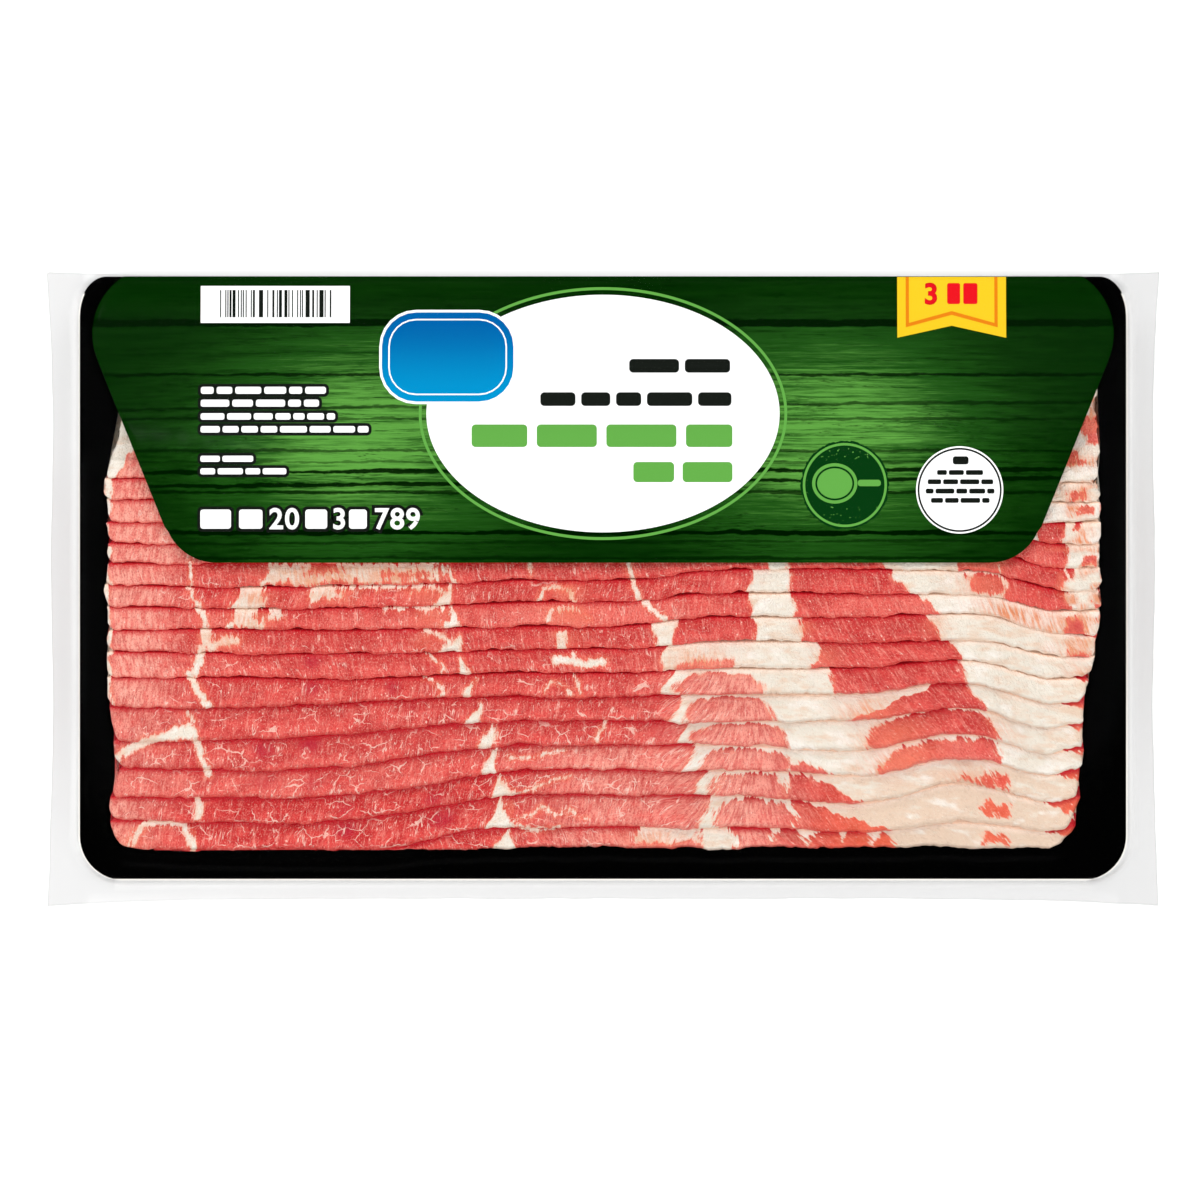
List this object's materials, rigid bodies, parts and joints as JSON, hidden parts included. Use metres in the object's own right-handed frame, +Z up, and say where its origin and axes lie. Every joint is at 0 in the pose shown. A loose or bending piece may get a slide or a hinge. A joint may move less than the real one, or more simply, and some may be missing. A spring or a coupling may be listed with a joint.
{
  "type": "bacon pack",
  "caption": "Flat sealed pack of sliced streaky bacon, shingled on a folded card whose printed flap covers the head of the slices, under clear film.",
  "frame": {"origin": "centre of the pack's underside, on the surface it lies on", "axes": "+X along the slices, +Y towards the fold at the pack's head, +Z up out of its front"},
  "size_m": [0.2762, 0.1574, 0.0219],
  "materials": {
    "clear_film": "clear and glossy, hazy at the seam",
    "printed_card": "glossy print",
    "board_black": "glossy coated",
    "print_white": "glossy print",
    "print_blue": "glossy print",
    "print_yellow": "glossy print",
    "print_lime": "glossy print",
    "print_dark": "glossy print",
    "print_red": "glossy print",
    "bacon": "moist lean with cream fat"
  },
  "bodies": {
    "root": {"film_pouch": "clear_film", "folded_card": "printed_card", "slice_01": "bacon", "slice_02": "bacon", "slice_03": "bacon", "slice_04": "bacon", "slice_05": "bacon", "slice_06": "bacon", "slice_07": "bacon", "slice_08": "bacon", "slice_09": "bacon", "slice_10": "bacon", "slice_11": "bacon", "slice_12": "bacon", "slice_13": "bacon", "slice_14": "bacon", "slice_15": "bacon", "slice_16": "bacon", "slice_17": "bacon"}
  },
  "joints": []
}
